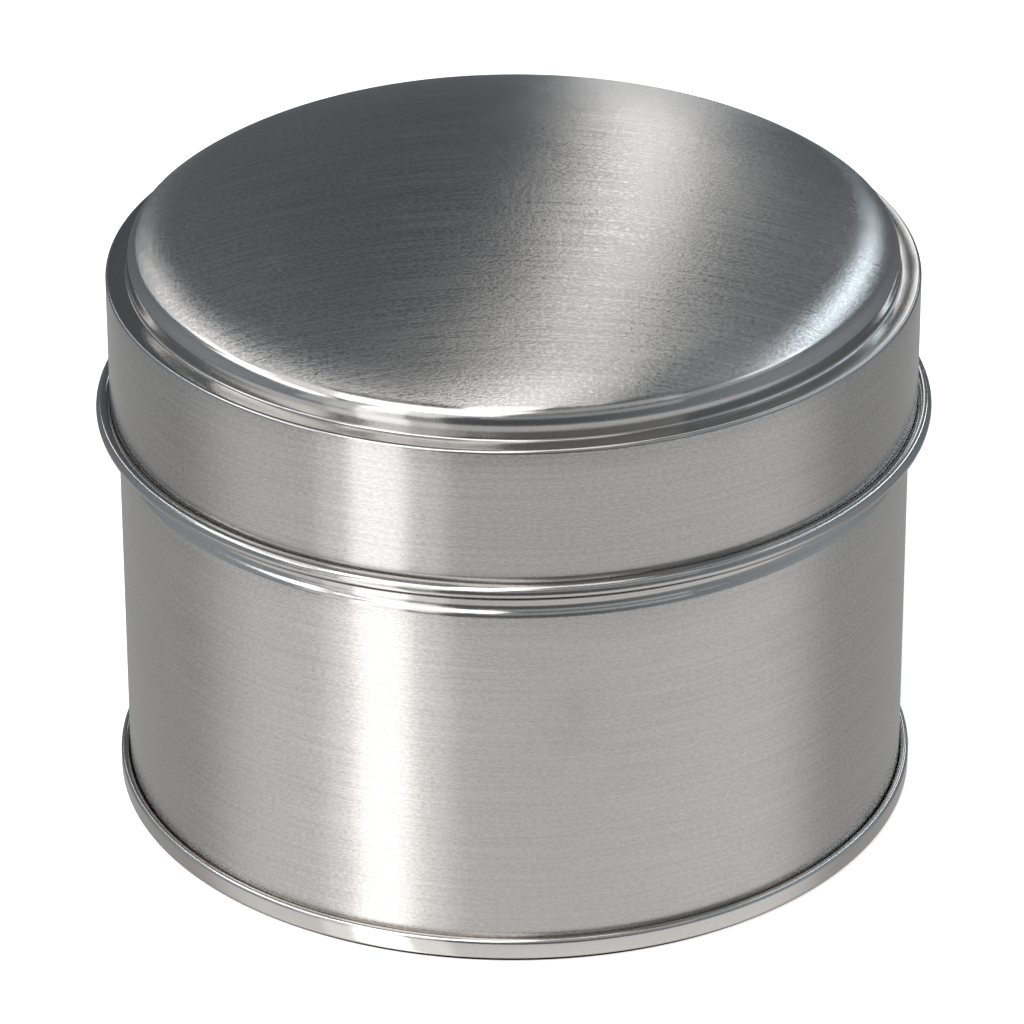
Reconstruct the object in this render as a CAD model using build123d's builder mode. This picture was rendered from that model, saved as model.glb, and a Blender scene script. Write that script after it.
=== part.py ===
from build123d import *
from collections import namedtuple
from math import acos, degrees, radians, sin, sqrt
import os

# A round tinplate canister with a loose slip lid, all pressed or rolled from thin sheet.
# The origin is the middle of the foot, +Z is up and +Y is the back. Lengths are in millimetres.

# Sheet
sheet = 0.25

# Body wall
body_radius = 40.7
shoulder_height = 39.0
shoulder_bend = 1.0
neck_inset = 0.45
rim_height = 57.5
rim_curl_radius = 0.55

# Welded side seam at the back of the body wall
weld_width = 1.0
weld_rise = 0.08
weld_end_gap = 0.3

# Double seam that joins the base to the body wall
seam_height = 2.6
seam_gap = 0.07
seam_hook_gap = 0.12
seam_inner_corner = 0.35

# Base panel, set up into the body so that only the seam touches the table
base_recess = 3.2
base_corner = 0.8
base_bead_radius = 31.0
base_bead_bend = 1.6
base_bead_turn = 35.0

# Sealing compound inside the double seam
compound_gap = 0.02

# Lid skirt, with its outside curl
lid_play = 0.15
lid_seat_gap = 0.1
skirt_depth = 15.9
lid_curl_radius = 0.85
lid_corner = 0.35
curl_tip_gap = 0.06

# Lid panel, raised above a flat ledge
ledge_width = 1.55
panel_foot = 0.3
panel_wall = 1.2
panel_shoulder = 2.0
panel_border = 17.0
panel_border_slope = 38.0
dome_edge_slope = 22.0

# Fits between the pieces
neck_radius = body_radius - neck_inset
rim_radius = neck_radius - sheet + 2 * rim_curl_radius
lid_radius = rim_radius + lid_play + sheet
lid_height = rim_height + lid_seat_gap + sheet

# Layers of the double seam, from the tin's inside to its outside
chuck_radius = body_radius - sheet - seam_gap - sheet
end_hook_radius = body_radius + seam_gap
body_hook_radius = end_hook_radius + sheet + seam_gap
seam_radius = body_hook_radius + sheet + seam_gap + sheet

# Bends of the double seam: the body's flange turns up inside the base's hook
flange_bend = (body_hook_radius - body_radius) / 2
flange_outer = flange_bend + sheet
flange_centre = body_radius + flange_bend
seam_outer_corner = flange_outer + seam_gap + sheet
seam_top_bend = (seam_radius - end_hook_radius) / 2
seam_top_centre = seam_height - seam_top_bend

# A sheet's surface is drawn as straight runs and bends, where a left turn is positive
Run = namedtuple("Run", "length")
Bend = namedtuple("Bend", "radius turn")


def sheet_surface(start, heading, moves, inset):
    """Draw one surface of a sheet, moved to the left by inset, and return its two ends."""
    first = Vector(start) + Vector(0, inset).rotate(Axis.Z, heading)
    last = first
    for move in moves:
        tangent = Vector(1, 0).rotate(Axis.Z, heading)
        if isinstance(move, Run):
            edge = Line(last, last + tangent * move.length)
        else:
            radius = move.radius - inset if move.turn > 0 else move.radius + inset
            edge = JernArc(last, tangent, radius, move.turn)
            heading += move.turn
        last = edge @ 1
    return first, last


def sheet_section(start, heading, moves, inner=0, outer=sheet):
    """Draw the closed outline of a sheet that lies to the left of the surface drawn by moves."""
    near = sheet_surface(start, heading, moves, inner)
    far = sheet_surface(start, heading, moves, outer)
    Line(near[0], far[0])
    Line(near[1], far[1])


def curl(radius):
    """Bend of an outside curl that stops just before its tip meets the wall it springs from."""
    open_angle = acos((radius - sheet - curl_tip_gap) / radius)
    return Bend(radius - sheet, degrees(open_angle) - 360)


# Body wall: flange hook, straight side, shoulder, neck and rim curl
shoulder_turn = degrees(acos(1 - neck_inset / (2 * shoulder_bend)))
neck_height = shoulder_height + 2 * shoulder_bend * sin(radians(shoulder_turn))
body_hook_length = seam_top_centre - seam_hook_gap - seam_outer_corner
body_side = [
    Run(shoulder_height - seam_outer_corner),
    Bend(shoulder_bend, shoulder_turn),
    Bend(shoulder_bend, -shoulder_turn),
    Run(rim_height - rim_curl_radius - neck_height),
]
body_profile = [Run(body_hook_length), Bend(flange_bend, -180)] + body_side + [curl(rim_curl_radius)]

# The weld follows the side from just above the seam to just below the rim curl
weld_start = seam_height + weld_end_gap
weld_side = [
    Run(shoulder_height - weld_start),
    Bend(shoulder_bend, shoulder_turn),
    Bend(shoulder_bend, -shoulder_turn),
    Run(rim_height - 2 * rim_curl_radius - weld_end_gap - neck_height),
]
weld_angle = degrees(weld_width / body_radius)

with BuildPart() as body_wall:
    with BuildSketch(Plane.XZ):
        with BuildLine():
            sheet_section((body_hook_radius, seam_top_centre - seam_hook_gap), -90, body_profile)
        make_face()
    revolve(axis=Axis.Z)
    # Where the sheet's ends lap and are welded, the wall is a little thicker both ways
    with BuildSketch(Plane.XZ.rotated((0, 0, 90 - weld_angle / 2))):
        with BuildLine():
            sheet_section((body_radius, weld_start), 90, weld_side, -weld_rise, sheet + weld_rise)
        make_face()
    revolve(axis=Axis.Z, revolution_arc=weld_angle)
body_wall.part.label = "body_wall"

# Base: recessed panel with a stiffening bead, chuck wall, seam and end hook
bead_run = base_bead_radius - 2 * base_bead_bend * sin(radians(base_bead_turn))
bead_end = base_bead_radius + 2 * base_bead_bend * sin(radians(base_bead_turn))
base_profile = [
    Run(bead_run),
    Bend(base_bead_bend, base_bead_turn),
    Bend(base_bead_bend, -2 * base_bead_turn),
    Bend(base_bead_bend, base_bead_turn),
    Run(chuck_radius - base_corner - bead_end),
    Bend(base_corner, -90),
    Run(base_recess - base_corner - seam_inner_corner),
    Bend(seam_inner_corner, 90),
    Run(flange_centre - chuck_radius - seam_inner_corner),
    Bend(seam_outer_corner, 90),
    Run(seam_top_centre - seam_outer_corner),
    Bend(seam_top_bend, 180),
    Run(seam_top_centre - seam_outer_corner - seam_hook_gap),
]

with BuildPart() as base_end:
    with BuildSketch(Plane.XZ):
        with BuildLine():
            sheet_section((0, base_recess), 0, base_profile)
        make_face()
    revolve(axis=Axis.Z)
base_end.part.label = "base_end"

# Sealing compound: the ring squeezed into the corner under the body's flange. Its long side lies
# square across the corner, and just clears the flange's bend.
compound_inner = chuck_radius + sheet + compound_gap
compound_floor = sheet + compound_gap
compound_bevel = (2 - sqrt(2)) * (seam_inner_corner - sheet - compound_gap)
flange_clear = flange_outer + compound_gap
corner_to_flange = flange_centre - compound_inner + seam_outer_corner - compound_floor
compound_reach = corner_to_flange - sqrt(2) * flange_clear
with BuildPart() as seam_compound:
    with BuildSketch(Plane.XZ):
        with Locations((compound_inner, compound_floor)):
            Polygon((0, 0), (compound_reach, 0), (0, compound_reach), align=None)
        corner = vertices().group_by(Axis.X)[0].sort_by(Axis.Y)[0]
        chamfer(corner, compound_bevel)
    revolve(axis=Axis.Z)
seam_compound.part.label = "seam_compound"

# Lid: outside curl, skirt, corner, flat ledge, and the panel: a dome with a rounder border, which
# stands on a low upright wall
panel_radius = lid_radius - lid_corner - ledge_width - panel_foot
lid_curl = curl(lid_curl_radius)
curl_height = lid_height - skirt_depth + lid_curl_radius
curl_centre = Vector(lid_radius + lid_curl.radius, curl_height)
curl_tip = curl_centre - Vector(lid_curl.radius, 0).rotate(Axis.Z, -lid_curl.turn)
border_sine = sin(radians(panel_border_slope))
edge_sine = sin(radians(dome_edge_slope))
border_edge = panel_radius - panel_shoulder * (1 - border_sine)
dome_edge = border_edge - panel_border * (border_sine - edge_sine)
lid_profile = [
    lid_curl,
    Run(lid_height - lid_corner - curl_height),
    Bend(lid_corner, 90),
    Run(ledge_width),
    Bend(panel_foot, -90),
    Run(panel_wall),
    Bend(panel_shoulder, 90 - panel_border_slope),
    Bend(panel_border, panel_border_slope - dome_edge_slope),
    Bend(dome_edge / edge_sine, dome_edge_slope),
]

with BuildPart() as lid:
    with BuildSketch(Plane.XZ):
        with BuildLine():
            sheet_section(curl_tip, 90 - lid_curl.turn, lid_profile)
        make_face()
    revolve(axis=Axis.Z)
lid.part.label = "lid"

os.makedirs("parts", exist_ok=True)
export_step(body_wall.part, "parts/body_wall.step")
export_step(base_end.part, "parts/base_end.step")
export_step(seam_compound.part, "parts/seam_compound.step")
export_step(lid.part, "parts/lid.step")
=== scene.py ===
import math
from collections import namedtuple

import bpy
from mathutils import Matrix, Vector


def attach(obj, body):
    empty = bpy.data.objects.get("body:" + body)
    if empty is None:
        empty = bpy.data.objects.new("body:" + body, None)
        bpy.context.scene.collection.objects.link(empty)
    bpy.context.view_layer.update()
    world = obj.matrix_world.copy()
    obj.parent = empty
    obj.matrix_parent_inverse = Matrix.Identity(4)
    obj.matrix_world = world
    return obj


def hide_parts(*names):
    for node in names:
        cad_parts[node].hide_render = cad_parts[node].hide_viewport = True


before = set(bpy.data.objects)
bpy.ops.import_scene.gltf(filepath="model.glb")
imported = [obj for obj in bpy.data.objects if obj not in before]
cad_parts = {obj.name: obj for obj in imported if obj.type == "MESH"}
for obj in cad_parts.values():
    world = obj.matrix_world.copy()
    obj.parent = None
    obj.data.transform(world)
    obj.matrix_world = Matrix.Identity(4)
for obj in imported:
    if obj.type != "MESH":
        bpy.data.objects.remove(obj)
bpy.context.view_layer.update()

# The tin stands on the floor with its foot at the origin. Sections of sheet are drawn in millimetres,
# as the CAD solids are, and everything that Blender gets is in metres.
MM = 0.001

# Sizes of the sheet sections, the same as those of the CAD solids
SHEET = 0.25
BODY_RADIUS = 40.7
SHOULDER_HEIGHT = 39.0
SHOULDER_BEND = 1.0
NECK_INSET = 0.45
RIM_HEIGHT = 57.5
RIM_CURL_RADIUS = 0.55
WELD_WIDTH = 1.0
WELD_RISE = 0.08
WELD_END_GAP = 0.3
SEAM_HEIGHT = 2.6
SEAM_GAP = 0.07
SEAM_HOOK_GAP = 0.12
SEAM_INNER_CORNER = 0.35
BASE_RECESS = 3.2
BASE_CORNER = 0.8
BASE_BEAD_RADIUS = 31.0
BASE_BEAD_BEND = 1.6
BASE_BEAD_TURN = 35.0
LID_PLAY = 0.15
LID_SEAT_GAP = 0.1
SKIRT_DEPTH = 15.9
LID_CURL_RADIUS = 0.85
LID_CORNER = 0.35
CURL_TIP_GAP = 0.06
LEDGE_WIDTH = 1.55
PANEL_FOOT = 0.3
PANEL_WALL = 1.2
PANEL_SHOULDER = 2.0
PANEL_BORDER = 17.0
PANEL_BORDER_SLOPE = 38.0
DOME_EDGE_SLOPE = 22.0

# How finely the sheet is turned and bent, the radius and length up to which it is burnished, how near
# the axis a point counts as on it, and the least angle of a sharp edge
SEGMENTS = 240
ARC_STEP = 8.0
WELD_STEPS = 8
TIGHT_RADIUS = 5.0
SHORT_RUN = 2.0
AXIS_REACH = 0.001
SHARP_ANGLE = 45.0

# Tinplate. Scales are noise cells per metre, and heights of relief are in metres.
TIN_COLOUR = (0.545, 0.523, 0.5, 1)
LID_COLOUR = (0.445, 0.43, 0.415, 1)
TIN_ANISOTROPY = 0.85
QUARTER_TURN = 0.25
WALL_NORMAL_Z = 0.3
FLAT_NORMAL_Z = 0.6
STROKE_SCALES = (1900, 5200, 1)
LINE_SCALES = (60, 2400, 1)
LINE_SHARE = 0.25
GRAIN_LOW = 0.38
GRAIN_HIGH = 0.62
GRAIN_HEIGHT = 0.000008
GRAIN_CONTRAST = 0.16
GRAIN_DULLING = 0.03
WALL_GRAIN = 0.22
BENT_GRAIN = 0.08
BENT_CONTRAST = 0.05
BENT_ROUGHNESS = 0.13
WAVE_SCALES = (150, 150, 90)
WAVE_STRENGTH = 0.6
WAVE_HEIGHT = 0.00006
CLOUD_SCALES = (48, 48, 48)
CLOUD_CONTRAST = 0.05
CLOUD_DULLING = 0.03
RUB_SCALES = (110, 110, 110)
RUB_LOW = 0.56
RUB_HIGH = 0.74
RUB_DULLING = 0.03

# Weld, with its edge in parts of its width, and sealing compound
WELD_COLOUR = (0.36, 0.355, 0.35, 1)
WELD_EDGE_COLOUR = (0.2, 0.2, 0.24, 1)
WELD_EDGE_START = 0.2
WELD_EDGE_END = 0.5
WELD_PITCH = 0.0009
WELD_RIB_SHARE = 0.5
WELD_SCALES = (4000, 9000, 1)
WELD_STRENGTH = 0.4
WELD_RELIEF = 0.00004
COMPOUND_DARK = (0.07, 0.066, 0.06, 1)
COMPOUND_PALE = (0.14, 0.132, 0.12, 1)
COMPOUND_SCALES = (900, 900, 900)
COMPOUND_STRENGTH = 0.3

# Camera, in pixels of the photograph, degrees and metres
PHOTO_SIZE = 1024
SENSOR_WIDTH = 36.0
FOCAL_PIXELS = 6127.5
AXIS_PIXEL_X = 514.1
VIEW_ELEVATION = 28.28
VIEW_DISTANCE = 0.6374
VIEW_ROLL = -0.164
TARGET = Vector((0, 0, 0.02897))

# Studio, in metres and in parts of white. Bounds are components of a direction from the tin.
FLOOR_REACH = 4.0
FLOOR_COLOUR = (0.85, 0.85, 0.85, 1)
FLOOR_ROUGHNESS = 0.9
FLOOR_GLOW = 0.7
FLOOR_FRONT_LEVEL = 1.0
FLOOR_BACK_LEVEL = 0.46
FLOOR_FRONT_BOUND = -0.2
FLOOR_BACK_BOUND = 0.32
UNDERFOOT_LOW = -0.95
UNDERFOOT_HIGH = -0.8
WALL_LOW = -0.45
WALL_HIGH = -0.33
WALL_LEVEL = 0.145
SIDE_LEVEL = 0.33
WHITE = (1, 1, 1, 1)
WALL_COLOUR = (0.82, 0.91, 1, 1)

# Softboxes, in metres, and their tints
LAMP_DISTANCE = 3.0
NEUTRAL = (1, 1, 1)
COOL = (0.93, 0.97, 1)
BLUE = (0.78, 0.9, 1)

# Fits and seam layers that follow from the sheet's sizes
NECK_RADIUS = BODY_RADIUS - NECK_INSET
RIM_RADIUS = NECK_RADIUS - SHEET + 2 * RIM_CURL_RADIUS
LID_RADIUS = RIM_RADIUS + LID_PLAY + SHEET
LID_HEIGHT = RIM_HEIGHT + LID_SEAT_GAP + SHEET
CHUCK_RADIUS = BODY_RADIUS - SHEET - SEAM_GAP - SHEET
END_HOOK_RADIUS = BODY_RADIUS + SEAM_GAP
BODY_HOOK_RADIUS = END_HOOK_RADIUS + SHEET + SEAM_GAP
SEAM_RADIUS = BODY_HOOK_RADIUS + SHEET + SEAM_GAP + SHEET
FLANGE_BEND = (BODY_HOOK_RADIUS - BODY_RADIUS) / 2
FLANGE_CENTRE = BODY_RADIUS + FLANGE_BEND
SEAM_OUTER_CORNER = FLANGE_BEND + SHEET + SEAM_GAP + SHEET
SEAM_TOP_BEND = (SEAM_RADIUS - END_HOOK_RADIUS) / 2
SEAM_TOP_CENTRE = SEAM_HEIGHT - SEAM_TOP_BEND

Run = namedtuple("Run", "length steps")
Bend = namedtuple("Bend", "radius turn steps")


def run(length, steps=1):
    """Straight stretch of sheet."""
    return Run(length, steps)


def bend(radius, turn, steps=None):
    """Arc of sheet, in degrees, where a left turn is positive."""
    return Bend(radius, turn, steps or max(3, round(abs(turn) / ARC_STEP)))


def curl(radius):
    """Outside curl that stops just before its tip meets the wall it springs from."""
    open_angle = math.acos((radius - SHEET - CURL_TIP_GAP) / radius)
    return bend(radius - SHEET, math.degrees(open_angle) - 360)


def sheet_surface(start, heading, moves, inset):
    """Points of one surface of a sheet, moved to the left of its path by inset."""
    heading = math.radians(heading)
    place = Vector(start) + inset * Vector((-math.sin(heading), math.cos(heading)))
    points = [place]
    for move in moves:
        ahead = Vector((math.cos(heading), math.sin(heading)))
        if isinstance(move, Run):
            points += [place + ahead * move.length * i / move.steps for i in range(1, move.steps + 1)]
        else:
            side = math.copysign(1.0, move.turn)
            centre = place + side * (move.radius - side * inset) * Vector((-ahead.y, ahead.x))
            for i in range(1, move.steps + 1):
                turned = Matrix.Rotation(math.radians(move.turn) * i / move.steps, 2)
                points.append(centre + turned @ (place - centre))
            heading += math.radians(move.turn)
        place = points[-1]
    return points


def lengths_along(points):
    """Distance of each point from the first one, along the path."""
    lengths = [0.0]
    for near, far in zip(points, points[1:]):
        lengths.append(lengths[-1] + (far - near).length)
    return lengths


def bent_shares(moves):
    """1 for each point of a path that lies on a tight bend or on a short run, and 0 elsewhere."""
    shares = [0.0]
    for move in moves:
        tight = move.radius < TIGHT_RADIUS if isinstance(move, Bend) else move.length < SHORT_RUN
        shares += [1.0 if tight else 0.0] * move.steps
    return shares


def mesh_piece(name, vertices, faces, uv_maps, bent=None):
    """New smooth-shaded object with UV maps and, where given, the share of bending at each point."""
    mesh = bpy.data.meshes.new(name)
    mesh.from_pydata(vertices, [], faces)
    for map_name, places in uv_maps.items():
        mesh.uv_layers.new(name=map_name).data.foreach_set("uv", places)
    if bent:
        mesh.attributes.new("bent", "FLOAT", "POINT").data.foreach_set("value", bent)
    mesh.shade_smooth()
    mesh.set_sharp_from_angle(angle=math.radians(SHARP_ANGLE))
    piece = bpy.data.objects.new(name, mesh)
    bpy.context.scene.collection.objects.link(piece)
    return piece


def around_axis(radius, height, angle):
    """Place in metres at an angle about Z, counted from the back."""
    turned = angle + math.pi / 2
    return Vector((radius * math.cos(turned), radius * math.sin(turned), height)) * MM


def turned_piece(name, start, heading, moves, centre=None):
    """Turn a sheet section about Z into a closed mesh, with its grain and its lathe lines as UV maps.

    The grain map is the sheet laid flat, so that straight grain is carried through every bend. centre
    says which end of the path lies at the middle of a round blank: "start" or "end". A strip rolled
    into a ring has none.
    """
    outside = sheet_surface(start, heading, moves, 0)
    inside = sheet_surface(start, heading, moves, SHEET)
    along = lengths_along(sheet_surface(start, heading, moves, SHEET / 2))
    if centre == "end":
        along = [along[-1] - length for length in along]
    shares = bent_shares(moves)
    ring = outside + inside[::-1]
    ring_along = along + along[::-1]
    ring_shares = shares + shares[::-1]

    vertices, rows, bent = [], [], []
    for (radius, height), share in zip(ring, ring_shares):
        on_axis = radius < AXIS_REACH
        first = len(vertices)
        count = 1 if on_axis else SEGMENTS
        rows.append([first + i % count for i in range(SEGMENTS + 1)])
        vertices += [around_axis(radius, height, math.tau * i / SEGMENTS) for i in range(count)]
        bent += [share] * count

    faces, grain, lathe = [], [], []
    for i in range(len(ring)):
        j = (i + 1) % len(ring)
        closed_near, closed_far = rows[i][0] == rows[i][1], rows[j][0] == rows[j][1]
        if closed_near and closed_far:
            continue
        for k in range(SEGMENTS):
            corners = [(i, k), (i, k + 1), (j, k + 1), (j, k)]
            if closed_near:
                del corners[1]
            if closed_far:
                del corners[2]
            faces.append([rows[a][b] for a, b in corners])
            for a, b in corners:
                angle = math.tau * b / SEGMENTS
                lathe += [angle * BODY_RADIUS * MM, ring_along[a] * MM]
                grain += around_axis(ring_along[a], 0, angle)[:2] if centre else lathe[-2:]
    return mesh_piece(name, vertices, faces, {"grain": grain, "lathe": lathe}, bent)


def weld_piece(name, start, moves):
    """Lens-shaped strip of weld that follows the wall, through the sheet and a little proud of it."""
    arc = [2 * i / WELD_STEPS - 1 for i in range(WELD_STEPS + 1)]
    outer = [(across, -WELD_RISE * math.cos(across * math.pi / 2)) for across in arc]
    columns = outer + [(across, SHEET - inset) for across, inset in reversed(outer)]

    vertices, places = [], []
    for across, inset in columns:
        points = sheet_surface(start, 90, moves, inset)
        angle = across * WELD_WIDTH / 2 / BODY_RADIUS
        vertices += [around_axis(radius, height, angle) for radius, height in points]
        places += [(across * WELD_WIDTH / 2 * MM, length * MM) for length in lengths_along(points)]

    rows = len(vertices) // len(columns)
    faces = []
    for i in range(len(columns)):
        near, far = i * rows, (i + 1) % len(columns) * rows
        faces += [[far + k, far + k + 1, near + k + 1, near + k] for k in range(rows - 1)]
    faces.append([i * rows for i in range(len(columns))])
    faces.append([i * rows + rows - 1 for i in reversed(range(len(columns)))])
    grain = [value for face in faces for corner in face for value in places[corner]]
    return mesh_piece(name, vertices, faces, {"grain": grain})


# Body wall: flange hook, straight side, shoulder, neck and rim curl
shoulder_turn = math.degrees(math.acos(1 - NECK_INSET / (2 * SHOULDER_BEND)))
neck_height = SHOULDER_HEIGHT + 2 * SHOULDER_BEND * math.sin(math.radians(shoulder_turn))
body_moves = [
    run(SEAM_TOP_CENTRE - SEAM_HOOK_GAP - SEAM_OUTER_CORNER),
    bend(FLANGE_BEND, -180),
    run(SHOULDER_HEIGHT - SEAM_OUTER_CORNER, 12),
    bend(SHOULDER_BEND, shoulder_turn),
    bend(SHOULDER_BEND, -shoulder_turn),
    run(RIM_HEIGHT - RIM_CURL_RADIUS - neck_height, 6),
    curl(RIM_CURL_RADIUS),
]
body_start = (BODY_HOOK_RADIUS, SEAM_TOP_CENTRE - SEAM_HOOK_GAP)
body_sheet = turned_piece("body_sheet", body_start, -90, body_moves)

# Weld down the back of the body wall, from just above the seam to just below the rim curl
weld_start = SEAM_HEIGHT + WELD_END_GAP
weld_moves = [
    run(SHOULDER_HEIGHT - weld_start, 60),
    bend(SHOULDER_BEND, shoulder_turn),
    bend(SHOULDER_BEND, -shoulder_turn),
    run(RIM_HEIGHT - 2 * RIM_CURL_RADIUS - WELD_END_GAP - neck_height, 30),
]
side_weld = weld_piece("side_weld", (BODY_RADIUS, weld_start), weld_moves)

# Base: recessed panel with a stiffening bead, chuck wall, seam and end hook
bead_half = 2 * BASE_BEAD_BEND * math.sin(math.radians(BASE_BEAD_TURN))
base_moves = [
    run(BASE_BEAD_RADIUS - bead_half, 10),
    bend(BASE_BEAD_BEND, BASE_BEAD_TURN),
    bend(BASE_BEAD_BEND, -2 * BASE_BEAD_TURN),
    bend(BASE_BEAD_BEND, BASE_BEAD_TURN),
    run(CHUCK_RADIUS - BASE_CORNER - BASE_BEAD_RADIUS - bead_half, 3),
    bend(BASE_CORNER, -90),
    run(BASE_RECESS - BASE_CORNER - SEAM_INNER_CORNER, 2),
    bend(SEAM_INNER_CORNER, 90),
    run(FLANGE_CENTRE - CHUCK_RADIUS - SEAM_INNER_CORNER),
    bend(SEAM_OUTER_CORNER, 90),
    run(SEAM_TOP_CENTRE - SEAM_OUTER_CORNER),
    bend(SEAM_TOP_BEND, 180),
    run(SEAM_TOP_CENTRE - SEAM_OUTER_CORNER - SEAM_HOOK_GAP),
]
base_disc = turned_piece("base_disc", (0, BASE_RECESS), 0, base_moves, centre="start")

# Lid: outside curl, skirt, corner, flat ledge, and the panel: a dome with a rounder border, which
# stands on a low upright wall
panel_radius = LID_RADIUS - LID_CORNER - LEDGE_WIDTH - PANEL_FOOT
lid_curl = curl(LID_CURL_RADIUS)
curl_height = LID_HEIGHT - SKIRT_DEPTH + LID_CURL_RADIUS
curl_centre = Vector((LID_RADIUS + lid_curl.radius, curl_height))
curl_tip = curl_centre - Matrix.Rotation(math.radians(-lid_curl.turn), 2) @ Vector((lid_curl.radius, 0))
border_sine = math.sin(math.radians(PANEL_BORDER_SLOPE))
edge_sine = math.sin(math.radians(DOME_EDGE_SLOPE))
border_edge = panel_radius - PANEL_SHOULDER * (1 - border_sine)
dome_edge = border_edge - PANEL_BORDER * (border_sine - edge_sine)
lid_moves = [
    lid_curl,
    run(LID_HEIGHT - LID_CORNER - curl_height, 6),
    bend(LID_CORNER, 90),
    run(LEDGE_WIDTH, 2),
    bend(PANEL_FOOT, -90),
    run(PANEL_WALL, 2),
    bend(PANEL_SHOULDER, 90 - PANEL_BORDER_SLOPE, 12),
    bend(PANEL_BORDER, PANEL_BORDER_SLOPE - DOME_EDGE_SLOPE, 14),
    bend(dome_edge / edge_sine, DOME_EDGE_SLOPE, 48),
]
lid_sheet = turned_piece("lid_sheet", curl_tip, 90 - lid_curl.turn, lid_moves, centre="end")


class Graph:
    """Short way to write the nodes of a material or of the world."""

    def __init__(self, owner):
        owner.use_nodes = True
        self.tree = owner.node_tree

    def node(self, kind, *values, out=0, **settings):
        """New node, with its settings, and its inputs from the top: numbers, colours or sockets."""
        made = self.tree.nodes.new("ShaderNode" + kind)
        for setting, value in settings.items():
            setattr(made, setting, value)
        for socket, value in zip(made.inputs, values):
            self.feed(socket, value)
        return made.outputs[out]

    def feed(self, socket, value):
        """Link a socket to another, or set its own value. None leaves it as it is."""
        if isinstance(value, bpy.types.NodeSocket):
            self.tree.links.new(value, socket)
        elif value is not None:
            socket.default_value = value

    def shade(self, **inputs):
        """Feed the inputs of the material's own shader. An underscore stands for a blank."""
        shader = self.tree.nodes["Principled BSDF"]
        for name, value in inputs.items():
            self.feed(shader.inputs[name.replace("_", " ")], value)

    def math(self, operation, *values):
        """Result of a sum on numbers and sockets."""
        return self.node("Math", *values, operation=operation)

    def blend(self, share, low, high):
        """Number between low and high."""
        return self.node("Mix", share, None, low, high)

    def blend_vectors(self, share, first, second):
        """Vector between the first and the second."""
        return self.node("Mix", share, *[None] * 3, first, second, data_type="VECTOR", out=1)

    def blend_colours(self, share, first, second, **settings):
        """Colour between the first and the second."""
        return self.node("Mix", share, *[None] * 5, first, second, data_type="RGBA", out=2, **settings)

    def opposite(self, share):
        """1 less the share."""
        return self.math("SUBTRACT", 1.0, share)

    def step(self, value, low, high):
        """0 below low and 1 above high, with a smooth step between them."""
        return self.node("MapRange", value, low, high, 0, 1, interpolation_type="SMOOTHSTEP")

    def noise(self, place, scales, seed, detail=2.0, rough=0.5):
        """Noise whose cells are 1 / scales long in each direction."""
        at = self.node("Mapping", place, (seed, seed, seed), None, scales)
        return self.node("TexNoise", at, None, 1.0, detail, rough)

    def grain(self, place, seed):
        """Short strokes and long lines that run along the first direction of a UV map."""
        strokes = self.noise(place, STROKE_SCALES, seed, 3.0, 0.8)
        lines = self.noise(place, LINE_SCALES, seed + 5, 2.0, 0.6)
        return self.step(self.blend(LINE_SHARE, strokes, lines), GRAIN_LOW, GRAIN_HIGH)


def tinplate(name, seed, rough, colour, grain_strength):
    """Bright tinplate: straight grain, lathe lines on walls and bends, clouding and rub marks."""
    material = bpy.data.materials.new(name)
    g = Graph(material)
    grain_place, lathe_place = [g.node("UVMap", uv_map=uv_map) for uv_map in ("grain", "lathe")]
    grain_way, lathe_way = [
        g.node("Tangent", direction_type="UV_MAP", uv_map=uv_map) for uv_map in ("grain", "lathe")]
    object_place = g.node("TexCoord", out="Object")
    normal_z = g.node("SeparateXYZ", g.node("TexCoord", out="Normal"), out=2)
    bent = g.node("Attribute", out="Fac", attribute_name="bent")

    # On walls and bends the lines run round the tin, and on flat sheet they run straight across it
    wall = g.opposite(g.step(g.math("ABSOLUTE", normal_z), WALL_NORMAL_Z, FLAT_NORMAL_Z))
    ringed = g.math("MAXIMUM", bent, wall)
    flat_lines, round_lines = [g.grain(place, seed) for place in (grain_place, lathe_place)]
    texture = g.blend(ringed, flat_lines, round_lines)
    clouds = g.noise(object_place, CLOUD_SCALES, seed, 4.0, 0.6)
    rubs = g.step(g.noise(object_place, RUB_SCALES, seed + 3, 5.0, 0.7), RUB_LOW, RUB_HIGH)

    # Relief: low waves, and the lines on top of them
    ripple = g.noise(object_place, WAVE_SCALES, seed, 1.0)
    waves = g.node("Bump", WAVE_STRENGTH, WAVE_HEIGHT, None, ripple)
    strength = g.blend(ringed, grain_strength, g.blend(bent, WALL_GRAIN, BENT_GRAIN))
    relief = g.node("Bump", strength, GRAIN_HEIGHT, None, texture, waves)

    # The lines make the tone up to the contrast darker or paler
    contrast = g.blend(bent, GRAIN_CONTRAST, BENT_CONTRAST)
    lines = g.math("MULTIPLY_ADD", texture, g.math("MULTIPLY", contrast, 2.0), g.opposite(contrast))
    tone = g.math("ADD", lines, g.blend(clouds, -CLOUD_CONTRAST, CLOUD_CONTRAST))
    clouded = g.blend(clouds, rough - CLOUD_DULLING, rough + CLOUD_DULLING)
    dulled = g.math("ADD", clouded, g.math("MULTIPLY", rubs, RUB_DULLING))
    lines_dulling = g.blend(texture, -GRAIN_DULLING, GRAIN_DULLING)
    roughness = g.math("ADD", g.blend(bent, dulled, BENT_ROUGHNESS), lines_dulling)
    grey = g.node("CombineColor", tone, tone, tone)
    g.shade(
        Metallic=1.0,
        Base_Color=g.blend_colours(1.0, colour, grey, blend_type="MULTIPLY"),
        Roughness=roughness,
        Anisotropic=TIN_ANISOTROPY,
        Anisotropic_Rotation=QUARTER_TURN,
        Tangent=g.blend_vectors(wall, grain_way, lathe_way),
        Normal=relief,
    )
    return material


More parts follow.
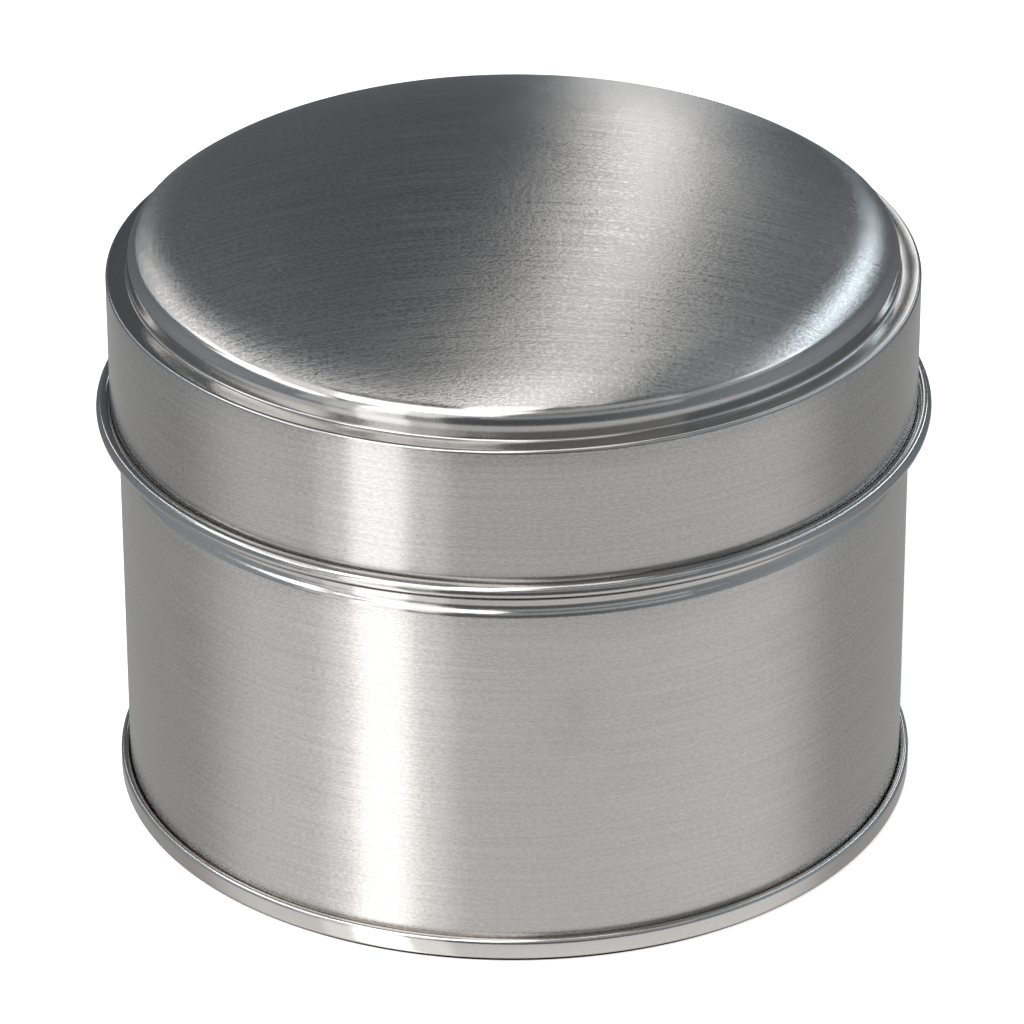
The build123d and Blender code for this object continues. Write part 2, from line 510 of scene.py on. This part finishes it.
def weld_metal():
    """Remelted tin and steel: duller, ribbed across, and heat-tinted toward its edges."""
    material = bpy.data.materials.new("weld_metal")
    g = Graph(material)
    place = g.node("UVMap", uv_map="grain")
    across, along = [g.node("SeparateXYZ", place, out=i) for i in range(2)]
    ribs = g.math("SINE", g.math("MULTIPLY", along, math.tau / WELD_PITCH))
    grit = g.noise(place, WELD_SCALES, 4.0, 3.0, 0.6)
    height = g.math("ADD", g.math("MULTIPLY", ribs, WELD_RIB_SHARE), grit)
    width = WELD_WIDTH * MM
    edge = g.step(g.math("ABSOLUTE", across), width * WELD_EDGE_START, width * WELD_EDGE_END)
    g.shade(
        Metallic=1.0,
        Base_Color=g.blend_colours(edge, WELD_COLOUR, WELD_EDGE_COLOUR),
        Roughness=g.blend(grit, 0.32, 0.5),
        Normal=g.node("Bump", WELD_STRENGTH, WELD_RELIEF, None, height),
    )
    return material


def sealing_compound():
    """Dried rubber compound: matte, slightly mottled and pitted."""
    material = bpy.data.materials.new("sealing_compound")
    g = Graph(material)
    place = g.node("TexCoord", out="Object")
    mottle = g.noise(place, COMPOUND_SCALES, 2.0, 4.0, 0.6)
    g.shade(
        Base_Color=g.blend_colours(mottle, COMPOUND_DARK, COMPOUND_PALE),
        Roughness=g.blend(mottle, 0.65, 0.85),
        Normal=g.node("Bump", COMPOUND_STRENGTH, GRAIN_HEIGHT, None, mottle),
    )
    return material


# Each piece, its material, the node that it replaces, its slot and the body that it rides
for piece, material, node, slot, body in (
    (body_sheet, tinplate("body_tinplate", 3.0, 0.25, TIN_COLOUR, 0.2),
     "body_wall", "body_tinplate", "canister"),
    (side_weld, weld_metal(), "body_wall", "body_tinplate", "canister"),
    (base_disc, tinplate("base_tinplate", 11.0, 0.3, TIN_COLOUR, 0.3),
     "base_end", "base_tinplate", "canister"),
    (lid_sheet, tinplate("lid_tinplate", 7.0, 0.2, LID_COLOUR, 0.9),
     "lid", "lid_tinplate", "lid"),
):
    piece.data.materials.append(material)
    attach(piece, body)
    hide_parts(node)

# The ring of sealing compound keeps its CAD shape and gets a material
for shown_slot in bpy.data.objects["seam_compound"].material_slots:
    shown_slot.material = sealing_compound()

# Camera at the photograph's angle
camera_data = bpy.data.cameras.new("camera")
camera_data.sensor_width = SENSOR_WIDTH
camera_data.lens = FOCAL_PIXELS * SENSOR_WIDTH / PHOTO_SIZE
camera_data.shift_x = (PHOTO_SIZE / 2 - AXIS_PIXEL_X) / PHOTO_SIZE
camera = bpy.data.objects.new("camera", camera_data)
elevation = math.radians(VIEW_ELEVATION)
back = Vector((0, -math.cos(elevation), math.sin(elevation)))
turn = back.to_track_quat("Z", "Y").to_matrix() @ Matrix.Rotation(math.radians(VIEW_ROLL), 3, "Z")
camera.matrix_world = Matrix.Translation(TARGET + back * VIEW_DISTANCE) @ turn.to_4x4()
bpy.context.scene.collection.objects.link(camera)
bpy.context.scene.camera = camera
bpy.context.scene.view_settings.view_transform = "Standard"


def pale_floor():
    """White floor that keeps the tin's shadow, and that is clear from below."""
    corners = [(x * FLOOR_REACH, y * FLOOR_REACH, 0) for x, y in ((-1, -1), (1, -1), (1, 1), (-1, 1))]
    mesh = bpy.data.meshes.new("floor")
    mesh.from_pydata(corners, [], [(0, 1, 2, 3)])
    floor = bpy.data.objects.new("floor", mesh)
    # What the metal sees below the horizon is the world's pale lower half and the foot of the key
    floor.visible_glossy = False
    floor.visible_shadow = False
    bpy.context.scene.collection.objects.link(floor)

    material = bpy.data.materials.new("floor")
    mesh.materials.append(material)
    g = Graph(material)
    seen = g.node("LightPath", out="Is Camera Ray")
    below = g.node("NewGeometry", out="Backfacing")
    g.shade(
        Base_Color=FLOOR_COLOUR,
        Roughness=FLOOR_ROUGHNESS,
        Specular_IOR_Level=0.0,
        Emission_Color=FLOOR_COLOUR,
        Emission_Strength=g.math("MULTIPLY", seen, FLOOR_GLOW),
        Alpha=g.opposite(below),
    )


def studio_world():
    """White to the camera. To the tin: a pale floor, pale side walls, and a dark front and back."""
    world = bpy.data.worlds.new("studio")
    bpy.context.scene.world = world
    g = Graph(world)
    direction = g.node("TexCoord", out="Generated")
    x, y, z = [g.node("SeparateXYZ", direction, out=i) for i in range(3)]
    walls = g.math("ADD", WALL_LEVEL, g.math("MULTIPLY", SIDE_LEVEL, g.math("MULTIPLY", x, x)))
    backward = g.step(y, FLOOR_FRONT_BOUND, FLOOR_BACK_BOUND)
    floor = g.blend(backward, FLOOR_FRONT_LEVEL, FLOOR_BACK_LEVEL)
    floor = g.math("MULTIPLY", floor, g.step(z, UNDERFOOT_LOW, UNDERFOOT_HIGH))
    raised = g.step(z, WALL_LOW, WALL_HIGH)
    level = g.blend(raised, floor, walls)
    seen = g.node("LightPath", out="Is Camera Ray")
    tinted = g.math("MULTIPLY", raised, g.opposite(seen))
    background = world.node_tree.nodes["Background"]
    g.feed(background.inputs["Color"], g.blend_colours(tinted, WHITE, WALL_COLOUR))
    g.feed(background.inputs["Strength"], g.blend(seen, level, 1.0))


def toward(azimuth, elevation):
    """Direction from the tin, in degrees. Azimuth runs from the front to the tin's own left."""
    azimuth, elevation = math.radians(azimuth), math.radians(elevation)
    level = math.cos(elevation)
    return Vector((math.sin(azimuth) * level, -math.cos(azimuth) * level, math.sin(elevation)))


def softbox(name, foot, head, width, radiance, tint=NEUTRAL):
    """Softbox that faces the tin. Foot and head are directions, and width is an angle, in degrees."""
    low, high = toward(*foot), toward(*head)
    away = (low + high).normalized()
    up = (high - low).normalized()
    lamp = bpy.data.lights.new(name, "AREA")
    lamp.shape = "RECTANGLE"
    lamp.size = 2 * LAMP_DISTANCE * math.tan(math.radians(width) / 2)
    lamp.size_y = 2 * LAMP_DISTANCE * math.tan(low.angle(high) / 2)
    lamp.energy = radiance * math.pi * lamp.size * lamp.size_y
    lamp.color = tint
    box = bpy.data.objects.new(name, lamp)
    facing = Matrix((up.cross(away), up, away)).transposed().to_4x4()
    box.matrix_world = Matrix.Translation(TARGET + away * LAMP_DISTANCE) @ facing
    bpy.context.scene.collection.objects.link(box)


pale_floor()
studio_world()
# The key stands at the front left and lights the bright stripe down the side
softbox("key", (-41, -58), (-36, 30), 15, 1.05)
softbox("key_edge", (-40, -58), (-35, 30), 34, 0.34)
softbox("key_side", (-52, -12), (-44, 22), 24, 0.4)
softbox("key_top", (-34, 8), (-20, 44), 24, 1.1)

# Banks overhead to the left, and streaks that light the rounded border of the lid
softbox("front_bank", (-30, 34), (-30, 64), 42, 2.7)
softbox("left_bank", (-75, 34), (-75, 58), 40, 1.2)
softbox("left_low", (-102, 34), (-56, 24), 11, 2.7)
softbox("left_streak", (-146, 16), (-119, 38), 4, 2.5)
softbox("left_arm", (-121, 36), (-92, 44), 5, 3.0)

# Above the tin and behind it, which give the lid its band
softbox("zenith", (30, 76), (150, 76), 18, 1.8)
softbox("zenith_front", (-10, 64), (-4, 80), 14, 2.8)
softbox("zenith_back", (180, 68), (180, 84), 16, 0.5)
softbox("zenith_left", (-90, 66), (-90, 82), 24, 0.25)
softbox("back_foot", (176.5, -22), (175, 4), 5, 0.55)
softbox("back_low", (174.4, 2), (168.5, 42), 4.5, 1.9)
softbox("back_high", (168, 40), (167, 70), 6, 1.6)
softbox("back_right", (168, 13), (160, 66), 8, 0.5)
softbox("back_wide", (160, 26), (147, 66), 16, 0.12)

# A cooler bank to the right
softbox("right_streak", (151, 17), (129, 38), 4.5, 4.2, BLUE)
softbox("right_arm", (131, 36), (108, 44), 5.5, 3.0, BLUE)
softbox("right_top", (110, 43), (84, 46), 8, 1.2, COOL)
softbox("right_bank", (112, 50), (112, 68), 30, 0.25, COOL)
softbox("right_wall", (76, 32), (76, 52), 34, 0.3, COOL)
softbox("front_fill", (20, 18), (20, 36), 56, 0.35)
softbox("front_high", (30, 44), (30, 64), 40, 0.5)
